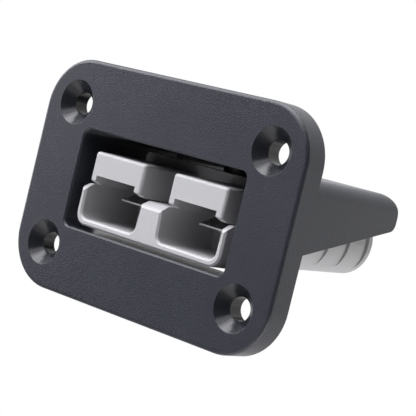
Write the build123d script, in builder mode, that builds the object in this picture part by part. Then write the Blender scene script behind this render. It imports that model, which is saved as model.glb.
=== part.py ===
from build123d import *
from math import radians, tan
import os

# Panel mount battery connector: a black moulded plate with a deep sleeve behind it,
# holding a light grey two-pole genderless connector housing.
# X runs to the right seen from the front, Y away from the viewer into the panel, Z up.
# The origin is the middle of the plate's back face, which seats on the panel.
# All sizes are in millimetres.

# Mounting plate
plate_width = 64.2
plate_height = 44.5
plate_thickness = 5.0
plate_corner_radius = 10.0
plate_edge_radius = 0.7
panel_hole_pitch_x = 48.5
panel_hole_pitch_z = 27.5
panel_hole_radius = 2.2
panel_countersink_radius = 4.25
countersink_angle = 90

# Window through the plate and the sleeve behind it
window_width = 40.6
window_height = 18.7
window_corner_radius = 1.5
window_edge_chamfer = 0.3
sleeve_roof_wall = 1.0
sleeve_cheek_wall = 1.2
sleeve_edge_radius = 3.0
sleeve_rear_top_radius = 4.3
roof_setback = 3.0
sleeve_rear_bottom_radius = 1.8
collar_length = 3.4
housing_overhang = 0.87
cheek_front_z = -6.5
cheek_rear_z = 3.8

# Ribs and screw bosses inside the sleeve
rib_thickness = 1.5
roof_rib_clearance = 0.2
cheek_rib_clearance = 0.25
cheek_rib_height = 4.0
rib_start_gap = 0.4
rib_rear_setback = 2.0
boss_radius = 3.5

# Connector housing, with heights counted from its middle plane
housing_width = 36.5
housing_height = 15.95
housing_length = 47.5
housing_middle_z = -0.45
housing_upper_radius = 1.0
housing_lower_radius = 2.5
front_setback = 0.67
mating_depth = 15.3
pole_pitch = 20.2
split_gap = 0.15
shoulder_length = 3.7

# Hoods over the cups
hood_side_inset = 1.6
hood_top_inset = 1.75
hood_edge_radius = 0.6
hood_leg_width = 1.5
hood_recess_top = 1.77
hood_front_lift = 0.7
hood_edge_margin = 0.01

# Cups under the hoods
cup_outer_wall = 1.1
cup_floor_wall = 1.25
cup_web_width = 5.1
cup_draft_angle = 3.5
cup_inner_radius = 1.5
cup_edge_chamfer = 0.35
cup_front_drop = 1.1
lead_in_length = 1.95
lead_in_radius = 1.5

# Cable barrels behind the shoulder and the web between them
barrel_inset = 0.275
barrel_taper = 0.8
barrel_rim_chamfer = 0.45
barrel_end_wall = 1.15
web_recess = 0.5
web_end_setback = 2.0
contact_slot_depth = 6.0
contact_slot_floor = 3.2

# Grip grooves round the outer side of each barrel
groove_count = 3
groove_pitch = 6.65
groove_end_distance = 2.45
groove_width = 1.5
groove_depth = 0.65
groove_drift = 2.8

# Leaf spring under each hood
spring_thickness = 0.4
spring_side_gap = 0.95
spring_tip_y = 2.8
spring_tip_drop = 3.5
spring_bend_gap = 1.0
spring_bend_radius = 3.0
spring_tab_height = 0.9
spring_tab_radius = 0.35
spring_side_clearance = 0.1
spring_slot_top_clearance = 0.1
spring_slot_wall = 0.5

# Countersunk screws and nuts that hold the housing in the sleeve
front_screw_setback = 3.83
rear_screw_setback = 4.9
screw_radius = 2.0
screw_hole_clearance = 0.15
screw_head_radius = 3.75
screw_head_rim = 0.2
screw_head_clearance = 0.05
screw_past_nut = 0.3
recess_span = 3.8
recess_slot = 0.9
recess_depth = 1.5
nut_width = 7.0
nut_height = 3.2
nut_bore_clearance = 0.05
nut_side_clearance = 0.1
nut_pocket_depth = 2.2

# Places that follow from the sizes above
sleeve_half_width = window_width / 2 + sleeve_cheek_wall
sleeve_top = window_height / 2 + sleeve_roof_wall
collar_bottom = -window_height / 2 - sleeve_cheek_wall
front_y = -plate_thickness + front_setback
step_y = front_y + mating_depth
shoulder_end = step_y + shoulder_length
slot_end = step_y + contact_slot_depth
rear_y = front_y + housing_length
sleeve_length = rear_y - housing_overhang
roof_end = sleeve_length - roof_setback
pole_x = pole_pitch / 2
housing_top = housing_middle_z + housing_height / 2
housing_bottom = housing_middle_z - housing_height / 2
cup_top = housing_middle_z - split_gap / 2
hood_bottom = housing_middle_z + split_gap / 2
hood_width = housing_width - 2 * hood_side_inset - pole_pitch
hood_top = housing_top - hood_top_inset
recess_width = hood_width - 2 * hood_leg_width
recess_ceiling = housing_middle_z + hood_recess_top
barrel_root_radius = min(housing_height, housing_width - pole_pitch) / 2 - barrel_inset
barrel_end_radius = barrel_root_radius - barrel_taper
cable_bore_radius = barrel_end_radius - barrel_end_wall
web_half_height = barrel_end_radius - web_recess
web_top = housing_middle_z + web_half_height
web_bottom = housing_middle_z - web_half_height
spring_width = recess_width - 2 * spring_side_gap
screw_places = [shoulder_end + front_screw_setback, roof_end - rear_screw_setback]
screw_hole_radius = screw_radius + screw_hole_clearance
nut_top = web_bottom + nut_pocket_depth
spring_tab_y = slot_end - spring_slot_wall - spring_side_clearance - spring_thickness / 2


def section_at(y):
    """An upright plane across the part at depth y, drawn as seen from the front."""
    return Plane.XZ.offset(-y)


os.makedirs("parts", exist_ok=True)

# Mounting bracket: plate, collar, sleeve, ribs and bosses in one moulding
with BuildPart() as mounting_bracket:
    # Sleeve cross-section with rounded upper edges
    with BuildSketch(section_at(sleeve_length)) as sleeve_section:
        with Locations((0, (sleeve_top + collar_bottom) / 2)):
            Rectangle(2 * sleeve_half_width, sleeve_top - collar_bottom)
        fillet(sleeve_section.vertices().group_by(Axis.Y)[-1], sleeve_edge_radius)
        fillet(
            sleeve_section.vertices().group_by(Axis.Y)[0],
            window_corner_radius + sleeve_cheek_wall,
        )
    extrude(amount=sleeve_length)
    # Side outline: closed collar at the plate, then cheeks that taper towards the rear
    with BuildSketch(Plane.YZ) as sleeve_side:
        with BuildLine():
            Polyline(
                (0, sleeve_top),
                (sleeve_length, sleeve_top),
                (sleeve_length, cheek_rear_z),
                (collar_length, cheek_front_z),
                (collar_length, collar_bottom),
                (0, collar_bottom),
                close=True,
            )
        make_face()
        rear_top = sleeve_side.vertices().sort_by_distance((sleeve_length, sleeve_top))[0]
        fillet(rear_top, sleeve_rear_top_radius)
        rear_low = sleeve_side.vertices().sort_by_distance((sleeve_length, cheek_rear_z))[0]
        fillet(rear_low, sleeve_rear_bottom_radius)
    extrude(amount=sleeve_half_width, both=True, mode=Mode.INTERSECT)
    # Plate with a softened front edge
    with BuildSketch(section_at(0)):
        RectangleRounded(plate_width, plate_height, plate_corner_radius)
    extrude(amount=plate_thickness)
    plate_front = mounting_bracket.faces().sort_by(Axis.Y)[0]
    fillet(plate_front.outer_wire().edges(), plate_edge_radius)
    # Window, which runs on as the inside of the sleeve
    with BuildSketch(section_at(sleeve_length)):
        RectangleRounded(window_width, window_height, window_corner_radius)
    extrude(amount=sleeve_length + plate_thickness, mode=Mode.SUBTRACT)
    plate_front = mounting_bracket.faces().sort_by(Axis.Y)[0]
    chamfer(plate_front.inner_wires()[0].edges(), window_edge_chamfer)
    # The roof stops short of the rounded rear corners of the cheeks
    with BuildSketch(Plane.XY.offset(sleeve_top)):
        with Locations((0, (roof_end + sleeve_length) / 2)):
            Rectangle(window_width - 2 * window_corner_radius, sleeve_length - roof_end)
    extrude(amount=-sleeve_top, mode=Mode.SUBTRACT)
    # Roof ribs over the barrels
    rib_start = step_y + rib_start_gap
    rib_end = roof_end - rib_rear_setback
    with BuildSketch(Plane.XY.offset(window_height / 2)):
        with Locations((0, (rib_start + rib_end) / 2)):
            with GridLocations(pole_pitch, 0, 2, 1):
                Rectangle(rib_thickness, rib_end - rib_start)
    extrude(amount=-(window_height / 2 - housing_top - roof_rib_clearance))
    # Cheek ribs beside the housing
    rib_height = (window_width - housing_width) / 2 - cheek_rib_clearance
    for side in (-1, 1):
        with BuildSketch(Plane.YZ.offset(side * window_width / 2)):
            with Locations(((rib_start + rib_end) / 2, housing_middle_z + cheek_rib_height)):
                Rectangle(rib_end - rib_start, rib_thickness)
        extrude(amount=-side * rib_height)
    # Screw bosses down to the web of the housing
    with BuildSketch(Plane.XY.offset(window_height / 2)):
        with Locations([(0, y) for y in screw_places]):
            Circle(boss_radius)
    extrude(amount=-(window_height / 2 - web_top))
    # Countersunk holes: two through the roof and four for the panel screws
    with Locations(Plane.XY.offset(sleeve_top)):
        with Locations([(0, y) for y in screw_places]):
            CounterSinkHole(
                screw_hole_radius,
                screw_head_radius + screw_head_rim + screw_head_clearance,
                depth=sleeve_top - web_top,
                counter_sink_angle=countersink_angle,
            )
    with Locations(section_at(-plate_thickness)):
        with GridLocations(panel_hole_pitch_x, panel_hole_pitch_z, 2, 2):
            CounterSinkHole(
                panel_hole_radius,
                panel_countersink_radius,
                depth=plate_thickness,
                counter_sink_angle=countersink_angle,
            )
mounting_bracket.part.label = "mounting_bracket"
export_step(mounting_bracket.part, "parts/mounting_bracket.step")

# Connector housing: cups, hoods, shoulder, barrels and web in one moulding
with BuildPart() as connector_housing:
    # Full section from the mating face to the end of the shoulder
    with BuildSketch(section_at(shoulder_end)) as housing_section:
        with Locations((0, housing_middle_z)):
            Rectangle(housing_width, housing_height)
        fillet(housing_section.vertices().group_by(Axis.Y)[0], housing_lower_radius)
        fillet(housing_section.vertices().group_by(Axis.Y)[-1], housing_upper_radius)
    extrude(amount=shoulder_end - front_y)
    # The upper half is cut away in front of the shoulder, with a lead-in on the cups
    with BuildSketch(Plane.YZ) as above_cups:
        with BuildLine():
            Polyline(
                (front_y - cup_front_drop, cup_top - cup_front_drop),
                (front_y, cup_top - cup_front_drop),
                (front_y + lead_in_length, cup_top),
                (step_y, cup_top),
                (step_y, housing_top),
                (front_y - cup_front_drop, housing_top),
                close=True,
            )
        make_face()
        lead_in_end = above_cups.vertices().sort_by_distance(
            (front_y + lead_in_length, cup_top)
        )[0]
        fillet(lead_in_end, lead_in_radius)
    extrude(amount=housing_width / 2, both=True, mode=Mode.SUBTRACT)
    # Cup cavities: drafted sides, rounded at the floor
    cup_outer_x = housing_width / 2 - cup_outer_wall
    cup_inner_x = cup_web_width / 2
    cup_floor_z = housing_bottom + cup_floor_wall
    draft = (cup_top - cup_floor_z) * tan(radians(cup_draft_angle))
    for side in (-1, 1):
        with BuildSketch(section_at(step_y)) as cup_section:
            with BuildLine():
                Polyline(
                    (side * cup_inner_x, cup_top),
                    (side * (cup_inner_x + draft), cup_floor_z),
                    (side * (cup_outer_x - draft / 2), cup_floor_z),
                    (side * cup_outer_x, cup_top),
                    close=True,
                )
            make_face()
            fillet(cup_section.vertices().group_by(Axis.Y)[0], cup_inner_radius)
        extrude(amount=mating_depth, mode=Mode.SUBTRACT)
    cup_front = connector_housing.faces().sort_by(Axis.Y)[0]
    chamfer(cup_front.edges(), cup_edge_chamfer)
    # Hoods: side outline with a lead-in under the front edge, as wide as the hood
    for side in (-1, 1):
        with BuildSketch(Plane.YZ.offset(side * pole_x)) as hood_side:
            with BuildLine():
                Polyline(
                    (front_y, hood_top),
                    (step_y, hood_top),
                    (step_y, hood_bottom),
                    (front_y + lead_in_length, hood_bottom),
                    (front_y, hood_bottom + hood_front_lift),
                    close=True,
                )
            make_face()
            lead_in_end = hood_side.vertices().sort_by_distance(
                (front_y + lead_in_length, hood_bottom)
            )[0]
            fillet(lead_in_end, lead_in_radius)
        extrude(amount=hood_width / 2, both=True)
    hood_edges = connector_housing.edges().filter_by_position(
        Axis.Z, hood_bottom + hood_front_lift + hood_edge_margin, hood_top + hood_edge_margin
    )
    hood_front_edges = hood_edges.filter_by_position(
        Axis.Y, front_y - hood_edge_margin, front_y + hood_edge_margin
    )
    hood_long_edges = hood_edges.filter_by(Axis.Y).filter_by_position(
        Axis.Z, hood_top - hood_edge_margin, hood_top + hood_edge_margin
    )
    fillet(hood_front_edges + hood_long_edges, hood_edge_radius)
    # Cable barrels, tapered towards the rear, and the web that joins them
    barrel_length = rear_y - shoulder_end
    for side in (-1, 1):
        with BuildSketch(Plane.XY.offset(housing_middle_z)):
            with BuildLine():
                Polyline(
                    (side * pole_x, shoulder_end),
                    (side * (pole_x + barrel_root_radius), shoulder_end),
                    (side * (pole_x + barrel_end_radius), rear_y),
                    (side * pole_x, rear_y),
                    close=True,
                )
            make_face()
        revolve(axis=Axis((side * pole_x, 0, housing_middle_z), (0, 1, 0)))
    web_end = rear_y - web_end_setback
    with BuildSketch(section_at(web_end)):
        with Locations((0, housing_middle_z)):
            Rectangle(pole_pitch, 2 * web_half_height)
    extrude(amount=web_end - shoulder_end)
    # Cable bores from the rear, and the contact slots from the bores to the cups
    with Locations(Plane((0, rear_y, housing_middle_z), x_dir=(1, 0, 0), z_dir=(0, 1, 0))):
        with GridLocations(pole_pitch, 0, 2, 1):
            Hole(cable_bore_radius, depth=rear_y - slot_end)
    barrel_rims = connector_housing.edges().filter_by(GeomType.CIRCLE).group_by(Axis.Y)[-1]
    chamfer(barrel_rims.group_by(SortBy.RADIUS)[-1], barrel_rim_chamfer)
    slot_height = contact_slot_floor + hood_recess_top
    with BuildSketch(section_at(slot_end)):
        with Locations((0, recess_ceiling - slot_height / 2)):
            with GridLocations(pole_pitch, 0, 2, 1):
                Rectangle(recess_width, slot_height)
    extrude(amount=slot_end - front_y, mode=Mode.SUBTRACT)
    # Slots in the ceiling for the tabs of the leaf springs
    tab_slot_width = spring_width + 2 * spring_side_clearance
    tab_slot_length = spring_thickness + 2 * spring_side_clearance
    with BuildSketch(Plane.XY.offset(recess_ceiling)):
        with Locations((0, spring_tab_y)):
            with GridLocations(pole_pitch, 0, 2, 1):
                Rectangle(tab_slot_width, tab_slot_length)
    extrude(amount=spring_tab_height + spring_slot_top_clearance, mode=Mode.SUBTRACT)
    # Grip grooves, deepest at the outer side and fading out above and below
    for side in (-1, 1):
        for number in range(groove_count):
            groove_y = rear_y - groove_end_distance - number * groove_pitch
            along = (groove_y - shoulder_end) / barrel_length
            barrel_radius = barrel_root_radius - barrel_taper * along
            floor_radius = barrel_radius - groove_depth + groove_drift
            with BuildSketch(section_at(groove_y + groove_width / 2)):
                with Locations((side * (pole_x + barrel_radius), housing_middle_z)):
                    Rectangle(2 * barrel_radius, 2 * barrel_radius)
                with Locations((side * (pole_x - groove_drift), housing_middle_z)):
                    Circle(floor_radius, mode=Mode.SUBTRACT)
            extrude(amount=groove_width, mode=Mode.SUBTRACT)
    # Screw holes down through the web, with hexagonal pockets for the nuts beneath
    with Locations(Plane.XY.offset(web_top)):
        with Locations([(0, y) for y in screw_places]):
            Hole(screw_hole_radius, depth=2 * web_half_height)
    with BuildSketch(Plane.XY.offset(web_bottom)):
        with Locations([(0, y) for y in screw_places]):
            RegularPolygon(nut_width / 2 + nut_side_clearance, 6, major_radius=False)
    extrude(amount=nut_pocket_depth, mode=Mode.SUBTRACT)
connector_housing.part.label = "connector_housing"
export_step(connector_housing.part, "parts/connector_housing.step")

# Leaf springs: a flat foot under the ceiling of the slot, a tab up into it and a long
# blade that slopes down towards the cup
for name, side in (("left_leaf_spring", -1), ("right_leaf_spring", 1)):
    foot_z = recess_ceiling - spring_thickness / 2
    with BuildPart() as leaf_spring:
        with BuildSketch(Plane.YZ.offset(side * pole_x)):
            with BuildLine():
                FilletPolyline(
                    (spring_tip_y, foot_z - spring_tip_drop),
                    (step_y + spring_bend_gap, foot_z),
                    (spring_tab_y, foot_z),
                    (spring_tab_y, recess_ceiling + spring_tab_height),
                    radius=[spring_bend_radius, spring_tab_radius],
                )
            trace(line_width=spring_thickness)
        extrude(amount=spring_width / 2, both=True)
    leaf_spring.part.label = name
    export_step(leaf_spring.part, f"parts/{name}.step")

# Countersunk screws, flush with the roof, with their tips just past the nuts
nut_bottom = nut_top - nut_height
screw_tip = nut_bottom - screw_past_nut
cone_bottom = sleeve_top - screw_head_rim - (screw_head_radius - screw_radius)
for name, place in zip(("front_retaining_screw", "rear_retaining_screw"), screw_places):
    with BuildPart() as retaining_screw:
        with BuildSketch(section_at(place)):
            with BuildLine():
                Polyline(
                    (0, sleeve_top),
                    (screw_head_radius, sleeve_top),
                    (screw_head_radius, sleeve_top - screw_head_rim),
                    (screw_radius, cone_bottom),
                    (screw_radius, screw_tip),
                    (0, screw_tip),
                    close=True,
                )
            make_face()
        revolve(axis=Axis((0, place, 0), (0, 0, 1)))
        with BuildSketch(Plane.XY.offset(sleeve_top)):
            with Locations((0, place)):
                Rectangle(recess_span, recess_slot)
                Rectangle(recess_slot, recess_span)
        extrude(amount=-recess_depth, mode=Mode.SUBTRACT)
    retaining_screw.part.label = name
    export_step(retaining_screw.part, f"parts/{name}.step")

# Hexagonal nuts in the pockets under the web
for name, place in zip(("front_retaining_nut", "rear_retaining_nut"), screw_places):
    with BuildPart() as retaining_nut:
        with BuildSketch(Plane.XY.offset(nut_top)):
            with Locations((0, place)):
                RegularPolygon(nut_width / 2, 6, major_radius=False)
                Circle(screw_radius + nut_bore_clearance, mode=Mode.SUBTRACT)
        extrude(amount=-nut_height)
    retaining_nut.part.label = name
    export_step(retaining_nut.part, f"parts/{name}.step")
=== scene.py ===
import math

import bmesh
import bpy
from mathutils import Matrix, Vector


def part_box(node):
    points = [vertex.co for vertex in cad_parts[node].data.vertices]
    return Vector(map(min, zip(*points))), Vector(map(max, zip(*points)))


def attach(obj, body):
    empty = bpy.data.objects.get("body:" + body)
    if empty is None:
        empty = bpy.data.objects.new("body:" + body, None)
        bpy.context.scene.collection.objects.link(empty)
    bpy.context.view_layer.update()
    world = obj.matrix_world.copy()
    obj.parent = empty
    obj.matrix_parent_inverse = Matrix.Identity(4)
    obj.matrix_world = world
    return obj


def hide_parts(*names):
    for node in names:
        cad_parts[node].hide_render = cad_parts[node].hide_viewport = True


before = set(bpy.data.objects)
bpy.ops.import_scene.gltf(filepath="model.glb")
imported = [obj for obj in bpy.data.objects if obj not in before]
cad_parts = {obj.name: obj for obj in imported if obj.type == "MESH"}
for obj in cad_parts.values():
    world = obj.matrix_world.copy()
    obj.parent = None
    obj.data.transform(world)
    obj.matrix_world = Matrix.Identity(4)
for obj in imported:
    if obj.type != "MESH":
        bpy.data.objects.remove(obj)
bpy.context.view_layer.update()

# Panel mount battery connector: a black moulded bracket with a light grey two-pole
# housing in its sleeve. Lengths are in metres; X is right, Y into the panel, Z up.

# Camera, fitted to the outline of the plate, the window, the countersinks and the housing
IMAGE_PIXELS = 416
FOCAL_PIXELS = 1436.082
SENSOR_WIDTH = 36.0
CAMERA_TURN = math.radians(-40.0)
CAMERA_PITCH = math.radians(3.417)
CAMERA_ROLL = math.radians(13.69)
ORIGIN_FROM_CAMERA = Vector((-0.007196, -0.001044, 0.262163))
NEAREST_SEEN = 0.01
FARTHEST_SEEN = 100.0

# Colours of the mouldings, metals and floor, as linear light
BLACK_MOULDING = (0.030, 0.032, 0.042)
GREY_MOULDING = (0.480, 0.480, 0.485)
SPRING_STEEL = (0.30, 0.30, 0.29)
# painted highlight for the springs' front edge
PAINTED_EDGE_HIGHLIGHT = (0.85, 0.85, 0.84)
STAINLESS = (0.26, 0.256, 0.248)
FLOOR_PAINT = (0.80, 0.80, 0.80)
WHITE = (1.0, 1.0, 1.0, 1.0)

# Noise of the finishes, in cells to the metre, and how it is drawn out along X, Y and Z
BLACK_GRAIN_CELLS = 3600.0
BLACK_CLOUD_CELLS = 90.0
GREY_FINE_CELLS = 2600.0
GREY_CLOUD_CELLS = 140.0
ROLLED_LINE_CELLS = 900.0
ROLLED_LINE_STRETCH = (6, 0.15, 1)
TURNED_MARK_CELLS = 1500.0

# Depth of the spark-eroded grain, and of the marks on the smoother surfaces
GRAIN_BUMP = 0.0001
FINE_BUMP = 0.00003

# Countersinks of the plate, which are moulded smooth, so glossier; their colour is also
# darkened, as painted shade in these recesses
HOLE_OFFSET_X = 0.02425
HOLE_OFFSET_Z = 0.01375
SMOOTH_BORE_RADIUS = 0.0023
SMOOTH_CONE_TIP = -0.0007  # Y at which the 90 degree cone would end in a point
SMOOTH_EDGE_SLOPE = 3e6  # how sharply the grain ends, to the square metre
SMOOTH_ROUGHNESS = 0.22
# how far the countersinks' colour drops, as painted shade
COUNTERSINK_PAINTED_SHADE = 0.65
GRAINED_TONE_LIFT = 0.15

# Sheared front edge of each spring: rougher, and painted bright as a highlight
SHEARED_EDGE_DEPTH = 0.00012
SHEARED_EDGE_SLOPE = 5e4  # how sharply it ends, to the metre

# Retaining screws: coarse metric thread, chamfered tip, and tapered cross recess
SCREW_STEPS = 36
SCREW_RADIUS = 0.002
SCREW_HEAD_RIM = 0.0002
SCREW_TIP_CHAMFER = 0.0004
THREAD_PITCH = 0.0007
THREAD_DEPTH = 0.00032
THREAD_RINGS_PER_TURN = 8
THREAD_FLANK_SLOPE = 1.25
RECESS_SPAN = 0.0038
RECESS_SLOT = 0.0009
RECESS_DEPTH = 0.0015
RECESS_FOOT_TAPER = 0.55
RECESS_CUTTER_RISE = 0.0005

# Retaining nuts: turned corners, and a mouth at each end of the bore
NUT_STEPS = 72
NUT_BORE_RADIUS = 0.00205
NUT_MOUTH = 0.00025
NUT_FACE_SHARE = 0.95
NUT_CORNER_SLOPE = math.tan(math.radians(30))
SIXTH_TURN = math.pi / 3

FASTENER_COUNT = 2
SHARP_ANGLE = math.radians(28)

# Studio
FLOOR_HEIGHT = -1.3
FLOOR_SIZE = 40.0
FLOOR_REARWARD_SLOPE = 0.3  # how fast the mirrored floor turns white behind the part
FRONT_MIRRORED = 0.10  # brightness of the surround as gloss shows it, before the part
REAR_MIRRORED = 1.0  # and behind it, where the white backdrop stands
BACKDROP_STARTS = 0.35  # Y of the directions between which the first turns to the second
BACKDROP_FULL = 0.9
LAMP_SIZE = 1.1
LAMP_DISTANCE = 1.2
LAMP_AIM = Vector((0, 0.01, 0))
COOL_WHITE = (0.985, 0.985, 1.035)
PLAIN_WHITE = (1.0, 1.0, 1.0)
LAMPS = {  # direction from the part, power in watts, and colour
    "key_lamp": ((-0.5, -0.56, 0.66), 16.3, COOL_WHITE),
    "left_lamp": ((-0.95, -0.2, 0.25), 9.8, COOL_WHITE),
    "top_lamp": ((-0.1, 0.1, 1.0), 10.5, PLAIN_WHITE),
    "left_top_lamp": ((-0.4, 0.1, 0.9), 5.7, PLAIN_WHITE),
    "front_top_lamp": ((0.0, -0.4, 0.9), 8.8, COOL_WHITE),
    "low_right_lamp": ((0.7, 0.2, -0.7), 8.0, PLAIN_WHITE),
    "low_front_lamp": ((0.0, -0.88, -0.47), 2.6, COOL_WHITE),
    "under_lamp": ((0.0, -0.1, -1.0), 2.6, PLAIN_WHITE),
}


class Term:
    """A number that varies over a surface, for sums written as Python expressions."""

    def __init__(self, shader, socket):
        self.shader = shader
        self.socket = socket

    def math(self, operation, *values):
        """The result of a Math node."""
        made = self.shader.node("ShaderNodeMath", {"operation": operation}, list(values))
        return Term(self.shader, made.outputs[0])

    def __add__(self, other):
        return self.math("ADD", self, other)

    def __radd__(self, other):
        return self.math("ADD", other, self)

    def __sub__(self, other):
        return self.math("SUBTRACT", self, other)

    def __rsub__(self, other):
        return self.math("SUBTRACT", other, self)

    def __mul__(self, other):
        return self.math("MULTIPLY", self, other)

    def __rmul__(self, other):
        return self.math("MULTIPLY", other, self)

    def absolute(self):
        return self.math("ABSOLUTE", self)

    def at_least(self, value):
        return self.math("MAXIMUM", self, value)

    def at_most(self, value):
        return self.math("MINIMUM", self, value)

    def clamp(self):
        return self.at_least(0.0).at_most(1.0)


class Shader:
    """The shader of a new material or world, built node by node."""

    def __init__(self, owner):
        owner.use_nodes = True
        self.owner = owner
        self.tree = owner.node_tree
        self.tree.nodes.clear()

    def node(self, kind, settings=None, inputs=None):
        """Adds a node: its settings first, then the values or links of its sockets."""
        made = self.tree.nodes.new(kind)
        for key, value in (settings or {}).items():
            setattr(made, key, value)
        pairs = inputs.items() if isinstance(inputs, dict) else enumerate(inputs or [])
        for key, value in pairs:
            if isinstance(value, Term):
                value = value.socket
            if isinstance(value, bpy.types.NodeSocket):
                self.tree.links.new(value, made.inputs[key])
            else:
                made.inputs[key].default_value = value
        return made

    def rays(self, kind):
        """1 for rays of a kind, such as Is Camera Ray, and 0 for others."""
        return Term(self, self.node("ShaderNodeLightPath").outputs[kind])

    def place(self):
        """The point on the piece, in metres."""
        return self.node("ShaderNodeTexCoord").outputs["Object"]

    def split(self, vector):
        """The X, Y and Z of a vector."""
        parts = self.node("ShaderNodeSeparateXYZ", {}, [vector]).outputs
        return [Term(self, parts[axis]) for axis in "XYZ"]

    def noise(self, scale, detail=2.0, roughness=0.5, stretch=(1, 1, 1)):
        """Cloudy noise from 0 to 1; scale is cells to the metre."""
        spot = self.node(
            "ShaderNodeMapping", {}, {"Vector": self.place(), "Scale": stretch}
        ).outputs["Vector"]
        made = self.node(
            "ShaderNodeTexNoise",
            {},
            {"Vector": spot, "Scale": scale, "Detail": detail, "Roughness": roughness},
        )
        return Term(self, made.outputs["Fac"])

    def mix(self, factor, first, second):
        """A colour between two colours."""
        return self.node(
            "ShaderNodeMix", {"data_type": "RGBA"}, {0: factor, 6: first, 7: second}
        ).outputs[2]

    def shades(self, factor, colour, darkest, lightest):
        """A colour between a darker and a lighter shade of it."""
        return self.mix(factor, tinted(colour, darkest), tinted(colour, lightest))

    def bump(self, height, strength, distance):
        """A normal that follows a height from 0 to 1; distance is in metres."""
        return self.node(
            "ShaderNodeBump",
            {},
            {"Height": height, "Strength": strength, "Distance": distance},
        ).outputs["Normal"]

    def principled(self, **inputs):
        """A surface; its sockets are named with underscores for spaces."""
        named = {key.replace("_", " "): value for key, value in inputs.items()}
        return self.node("ShaderNodeBsdfPrincipled", {}, named).outputs["BSDF"]

    def finish(self, surface, output="ShaderNodeOutputMaterial"):
        """Ends the shader and gives back its material or world."""
        self.node(output, {}, {"Surface": surface})
        return self.owner


def tinted(colour, factor):
    """A colour made lighter or darker by a factor, with full alpha."""
    return tuple(channel * factor for channel in colour) + (1.0,)


def smooth_shaded_countersinks(shader):
    """1 in the four holes and cones of the plate, and 0 elsewhere."""
    across, depth, up = shader.split(shader.place())
    from_hole_x = across.absolute() - HOLE_OFFSET_X
    from_hole_z = up.absolute() - HOLE_OFFSET_Z
    reach = (SMOOTH_CONE_TIP - depth).at_least(SMOOTH_BORE_RADIUS)
    inside = reach * reach - from_hole_x * from_hole_x - from_hole_z * from_hole_z
    return (inside * SMOOTH_EDGE_SLOPE).clamp()


def black_moulding():
    """Black glass-filled moulding: a fine spark-eroded grain, and smooth countersinks
    whose colour is darkened as painted shade.
    """
    shader = Shader(bpy.data.materials.new("black_moulding"))
    grain = shader.noise(BLACK_GRAIN_CELLS, roughness=0.6)
    clouds = shader.noise(BLACK_CLOUD_CELLS)
    smooth = smooth_shaded_countersinks(shader)
    grained = 1 - smooth
    cloudy = grain * 0.5 + clouds * 0.5
    # Painted shade: the colour in the countersinks drops towards the darkest shade.
    tone = (cloudy + GRAINED_TONE_LIFT - smooth * COUNTERSINK_PAINTED_SHADE).clamp()
    return shader.finish(
        shader.principled(
            Base_Color=shader.shades(tone, BLACK_MOULDING, darkest=0.52, lightest=1.26),
            Roughness=SMOOTH_ROUGHNESS + grained * (0.03 + 0.10 * grain),
            Specular_IOR_Level=0.45,
            Normal=shader.bump(grain * grained, strength=0.6, distance=GRAIN_BUMP),
        )
    )


def grey_moulding():
    """Light grey moulding, smooth, with faint flow clouds."""
    shader = Shader(bpy.data.materials.new("grey_moulding"))
    clouds = shader.noise(GREY_CLOUD_CELLS)
    fine = shader.noise(GREY_FINE_CELLS)
    return shader.finish(
        shader.principled(
            Base_Color=shader.shades(clouds, GREY_MOULDING, darkest=0.97, lightest=1.03),
            Roughness=0.44 + 0.08 * fine,
            Specular_IOR_Level=0.65,
            Normal=shader.bump(fine, strength=0.12, distance=FINE_BUMP),
        )
    )


def spring_steel():
    """Rolled strip with fine lines along its length, and a rougher front cut edge painted
    bright as a highlight.
    """
    shader = Shader(bpy.data.materials.new("spring_steel"))
    lines = shader.noise(ROLLED_LINE_CELLS, detail=3.0, stretch=ROLLED_LINE_STRETCH)
    rolled = shader.shades(lines, SPRING_STEEL, darkest=0.85, lightest=1.1)
    front_edge = min(corner[1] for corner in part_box("left_leaf_spring"))
    depth = shader.split(shader.place())[1]
    edge_end = front_edge + SHEARED_EDGE_DEPTH
    sheared_and_highlighted = ((edge_end - depth) * SHEARED_EDGE_SLOPE).clamp()
    return shader.finish(
        shader.principled(
            # Painted highlight: the front edge takes the bright colour.
            Base_Color=shader.mix(sheared_and_highlighted, rolled, tinted(PAINTED_EDGE_HIGHLIGHT, 1.0)),
            Metallic=1.0,
            Roughness=0.20 + 0.12 * lines + 0.3 * sheared_and_highlighted,
            Normal=shader.bump(lines, strength=0.2, distance=FINE_BUMP),
        )
    )


def stainless_fastener():
    """Satin stainless steel with faint turned and rolled marks."""
    shader = Shader(bpy.data.materials.new("stainless_fastener"))
    marks = shader.noise(TURNED_MARK_CELLS, detail=3.0)
    return shader.finish(
        shader.principled(
            Base_Color=shader.shades(marks, STAINLESS, darkest=0.85, lightest=1.1),
            Metallic=1.0,
            Roughness=0.60 + 0.12 * marks,
            Normal=shader.bump(marks, strength=0.15, distance=FINE_BUMP),
        )
    )


def floor_paint():
    """Matt floor that looks plain white to the camera, and behind the part to gloss."""
    shader = Shader(bpy.data.materials.new("floor_paint"))
    seen = shader.rays("Is Camera Ray")
    mirrored = shader.rays("Is Glossy Ray")
    through = shader.rays("Is Transmission Ray")
    rearward = (shader.split(shader.place())[1] * FLOOR_REARWARD_SLOPE).clamp()
    level = rearward * (REAR_MIRRORED - FRONT_MIRRORED) + FRONT_MIRRORED
    paint = shader.principled(Base_Color=tinted(FLOOR_PAINT, 1.0), Roughness=0.9)
    white = shader.node("ShaderNodeEmission", {}, {"Strength": 1.0}).outputs[0]
    plain = (seen + mirrored * level + through).clamp()
    mixed = shader.node("ShaderNodeMixShader", {}, [plain, paint, white])
    return shader.finish(mixed.outputs[0])


def dress(names, material):
    """Gives CAD nodes a material in place of their plain one."""
    for name in names:
        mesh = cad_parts[name].data
        mesh.materials.clear()
        mesh.materials.append(material)


def place_in_scene(name, data):
    """A new object in the scene, at the origin."""
    made = bpy.data.objects.new(name, data)
    bpy.context.scene.collection.objects.link(made)
    return made


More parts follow.
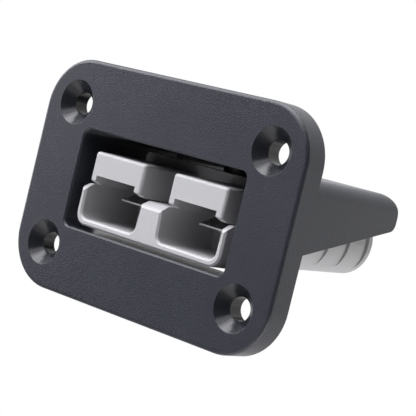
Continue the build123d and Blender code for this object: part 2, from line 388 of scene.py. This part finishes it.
def closed_mesh(name, rings, around=False):
    """A closed mesh through rings of points, capped, or joined end to end."""
    work = bmesh.new()
    loops = [[work.verts.new(point) for point in ring] for ring in rings]
    pairs = list(zip(loops, loops[1:]))
    if around:
        pairs.append((loops[-1], loops[0]))
    else:
        work.faces.new(loops[0])
        work.faces.new(loops[-1])
    for lower, upper in pairs:
        for k, point in enumerate(lower):
            after = (k + 1) % len(lower)
            work.faces.new((point, lower[after], upper[after], upper[k]))
    bmesh.ops.recalc_face_normals(work, faces=work.faces)
    mesh = bpy.data.meshes.new(name)
    work.to_mesh(mesh)
    work.free()
    return place_in_scene(name, mesh)


def constant(value):
    """A radius or height that is the same all round."""

    def at(turn):
        return value

    return at


def turned_ring(centre, steps, radius_at, height_at):
    """Points round an upright axis; radius and height are functions of the angle."""
    turns = [2 * math.pi * k / steps for k in range(steps)]
    return [
        (
            centre[0] + radius_at(turn) * math.cos(turn),
            centre[1] + radius_at(turn) * math.sin(turn),
            height_at(turn),
        )
        for turn in turns
    ]


def upright_axis(low, high):
    """X and Y of the middle of a box."""
    return ((low.x + high.x) / 2, (low.y + high.y) / 2)


def thread_radius(height, tip):
    """The radius of the screw's thread at a height, as a function of the angle."""

    def at(turn):
        wave = (height / THREAD_PITCH - turn / (2 * math.pi)) % 1.0
        cut = THREAD_DEPTH * min(1.0, THREAD_FLANK_SLOPE * (1 - abs(2 * wave - 1)))
        return min(SCREW_RADIUS - cut, SCREW_RADIUS - SCREW_TIP_CHAMFER + (height - tip))

    return at


def recess_cutter(centre, top):
    """The tapered cross that is cut from a screw's head."""
    half, slot = RECESS_SPAN / 2, RECESS_SLOT / 2
    quarter = [(half, -slot), (half, slot), (slot, slot)]
    cross = [
        Matrix.Rotation(math.pi / 2 * k, 2) @ Vector(corner)
        for k in range(4)
        for corner in quarter
    ]
    rings = []
    for height, taper in (
        (top - RECESS_DEPTH, RECESS_FOOT_TAPER),
        (top, 1.0),
        (top + RECESS_CUTTER_RISE, 1.0),
    ):
        rings.append(
            [(centre[0] + x * taper, centre[1] + y * taper, height) for x, y in cross]
        )
    return closed_mesh("recess_cutter", rings)


def countersunk_screw(low, high):
    """A threaded screw, tip down, that fills its box, and the cutter of its recess."""
    centre = upright_axis(low, high)
    head_radius = (high.x - low.x) / 2
    head_bottom = high.z - SCREW_HEAD_RIM - (head_radius - SCREW_RADIUS)
    rows = round((head_bottom - low.z) / (THREAD_PITCH / THREAD_RINGS_PER_TURN))
    heights = [low.z + (head_bottom - low.z) * k / rows for k in range(rows)]
    profile = [(thread_radius(height, low.z), height) for height in heights]
    profile += [
        (constant(SCREW_RADIUS), head_bottom),
        (constant(head_radius), high.z - SCREW_HEAD_RIM),
        (constant(head_radius), high.z),
    ]
    rings = [
        turned_ring(centre, SCREW_STEPS, radius_at, constant(height))
        for radius_at, height in profile
    ]
    screw = closed_mesh("retaining_screws", rings)
    cutter = recess_cutter(centre, high.z)
    recess = screw.modifiers.new("cross_recess", "BOOLEAN")
    recess.operation = "DIFFERENCE"
    recess.solver = "EXACT"
    recess.object = cutter
    return screw, cutter


def hexagonal_nut(low, high):
    """A nut with turned corners and a countersunk bore, filling the box."""
    centre = upright_axis(low, high)
    half_flats = min(high.x - low.x, high.y - low.y) / 2
    first_flat = SIXTH_TURN / 2 if high.x - low.x > high.y - low.y else 0.0
    face_radius = NUT_FACE_SHARE * half_flats

    def side(turn):
        """The distance from the axis to the flats."""
        off = (turn - first_flat + SIXTH_TURN / 2) % SIXTH_TURN - SIXTH_TURN / 2
        return half_flats / math.cos(off)

    def corner_drop(turn):
        """How far the turned corners lie below the face."""
        return (side(turn) - face_radius) * NUT_CORNER_SLOPE

    def lower_edge(turn):
        return low.z + corner_drop(turn)

    def upper_edge(turn):
        return high.z - corner_drop(turn)

    bore = constant(NUT_BORE_RADIUS)
    mouth = constant(NUT_BORE_RADIUS + NUT_MOUTH)
    face = constant(face_radius)
    profile = (
        (mouth, constant(low.z)),
        (face, constant(low.z)),
        (side, lower_edge),
        (side, upper_edge),
        (face, constant(high.z)),
        (mouth, constant(high.z)),
        (bore, constant(high.z - NUT_MOUTH)),
        (bore, constant(low.z + NUT_MOUTH)),
    )
    rings = [turned_ring(centre, NUT_STEPS, *functions) for functions in profile]
    return closed_mesh("retaining_nuts", rings, around=True)


def fastener_row_tree():
    """Geometry Nodes that repeat a fastener along Y and give it its material."""
    tree = bpy.data.node_groups.new("fastener_row", "GeometryNodeTree")
    for name, kind in (
        ("Fastener", "NodeSocketGeometry"),
        ("Count", "NodeSocketInt"),
        ("Spacing", "NodeSocketFloat"),
        ("Material", "NodeSocketMaterial"),
    ):
        tree.interface.new_socket(name, in_out="INPUT", socket_type=kind)
    tree.interface.new_socket("Row", in_out="OUTPUT", socket_type="NodeSocketGeometry")
    given = tree.nodes.new("NodeGroupInput").outputs
    offset = tree.nodes.new("ShaderNodeCombineXYZ")
    line = tree.nodes.new("GeometryNodeMeshLine")
    copies = tree.nodes.new("GeometryNodeInstanceOnPoints")
    real = tree.nodes.new("GeometryNodeRealizeInstances")
    finish = tree.nodes.new("GeometryNodeSetMaterial")
    result = tree.nodes.new("NodeGroupOutput")
    for start, end in (
        (given["Spacing"], offset.inputs["Y"]),
        (given["Count"], line.inputs["Count"]),
        (offset.outputs["Vector"], line.inputs["Offset"]),
        (line.outputs["Mesh"], copies.inputs["Points"]),
        (given["Fastener"], copies.inputs["Instance"]),
        (copies.outputs["Instances"], real.inputs["Geometry"]),
        (real.outputs["Geometry"], finish.inputs["Geometry"]),
        (given["Material"], finish.inputs["Material"]),
        (finish.outputs["Geometry"], result.inputs["Row"]),
    ):
        tree.links.new(start, end)
    return tree


def fastener_row(piece, tree, spacing, material, nodes):
    """Bakes a front fastener and its copy behind it, in place of two CAD nodes."""
    modifier = piece.modifiers.new("row", "NODES")
    modifier.node_group = tree
    values = {"Count": FASTENER_COUNT, "Spacing": spacing, "Material": material}
    for item in tree.interface.items_tree:
        if item.in_out == "INPUT" and item.name in values:
            modifier[item.identifier] = values[item.name]
    evaluated = piece.evaluated_get(bpy.context.evaluated_depsgraph_get())
    mesh = bpy.data.meshes.new_from_object(evaluated)
    piece.modifiers.clear()
    piece.data = mesh
    mesh.polygons.foreach_set("use_smooth", [True] * len(mesh.polygons))
    mesh.set_sharp_from_angle(angle=SHARP_ANGLE)
    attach(piece, "root")
    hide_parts(*nodes)


def make_fasteners(material):
    """The two retaining screws, and the nuts under the web."""
    tree = fastener_row_tree()
    ends = ("front", "rear")
    screws = [f"{end}_retaining_screw" for end in ends]
    nuts = [f"{end}_retaining_nut" for end in ends]
    low, high = (Vector(corner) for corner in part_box(screws[0]))
    spacing = Vector(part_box(screws[1])[0]).y - low.y
    screw, cutter = countersunk_screw(low, high)
    fastener_row(screw, tree, spacing, material, screws)
    bpy.data.objects.remove(cutter)
    low, high = (Vector(corner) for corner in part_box(nuts[0]))
    fastener_row(hexagonal_nut(low, high), tree, spacing, material, nuts)


def make_camera():
    """A long lens at the photograph's angle; the camera's roll turns the picture."""
    drawing_axes = Matrix(((1, 0, 0), (0, 0, -1), (0, 1, 0)))
    turn = (
        Matrix.Rotation(CAMERA_ROLL, 3, "Z")
        @ drawing_axes
        @ Matrix.Rotation(CAMERA_PITCH, 3, "X")
        @ Matrix.Rotation(CAMERA_TURN, 3, "Z")
    )
    data = bpy.data.cameras.new("camera")
    data.sensor_width = SENSOR_WIDTH
    data.lens = FOCAL_PIXELS * SENSOR_WIDTH / IMAGE_PIXELS
    data.clip_start = NEAREST_SEEN
    data.clip_end = FARTHEST_SEEN
    camera = place_in_scene("camera", data)
    facing = Matrix((turn[0], -turn[1], -turn[2])).transposed().to_4x4()
    place = -(turn.transposed() @ ORIGIN_FROM_CAMERA)
    camera.matrix_world = Matrix.Translation(place) @ facing
    bpy.context.scene.camera = camera


def softbox(name, direction, power, colour):
    """A square lamp in a direction from the part, which it faces."""
    data = bpy.data.lights.new(name, "AREA")
    data.shape = "SQUARE"
    data.size = LAMP_SIZE
    data.energy = power
    data.color = colour
    lamp = place_in_scene(name, data)
    place = Vector(direction).normalized() * LAMP_DISTANCE
    lamp.location = place
    lamp.rotation_mode = "QUATERNION"
    lamp.rotation_quaternion = (LAMP_AIM - place).to_track_quat("-Z", "Y")
    lamp.visible_camera = False


def make_floor():
    """A large plain floor well below the part, which its panel holds up."""
    half = FLOOR_SIZE / 2
    corners = [(-half, -half), (half, -half), (half, half), (-half, half)]
    mesh = bpy.data.meshes.new("floor")
    mesh.from_pydata([(x, y, FLOOR_HEIGHT) for x, y in corners], [], [(0, 1, 2, 3)])
    mesh.materials.append(floor_paint())
    floor = place_in_scene("floor", mesh)


def make_world():
    """A white surround for the camera, with its backdrop behind the part for gloss."""
    shader = Shader(bpy.data.worlds.new("studio"))
    direction = shader.node("ShaderNodeTexCoord").outputs["Generated"]
    level = shader.node(
        "ShaderNodeMapRange",
        {"interpolation_type": "SMOOTHSTEP"},
        {
            "Value": shader.split(direction)[1],
            "From Min": BACKDROP_STARTS,
            "From Max": BACKDROP_FULL,
            "To Min": FRONT_MIRRORED,
            "To Max": REAR_MIRRORED,
        },
    ).outputs["Result"]
    mirrored = shader.rays("Is Glossy Ray") * level
    strength = shader.rays("Is Camera Ray").at_least(mirrored)
    background = shader.node(
        "ShaderNodeBackground", {}, {"Color": WHITE, "Strength": strength}
    ).outputs[0]
    bpy.context.scene.world = shader.finish(background, "ShaderNodeOutputWorld")


make_camera()
make_floor()
make_world()
for name, lamp in LAMPS.items():
    softbox(name, *lamp)

dress(["mounting_bracket"], black_moulding())
dress(["connector_housing"], grey_moulding())
dress(["left_leaf_spring", "right_leaf_spring"], spring_steel())
make_fasteners(stainless_fastener())

scene = bpy.context.scene
scene.view_settings.view_transform = "Standard"
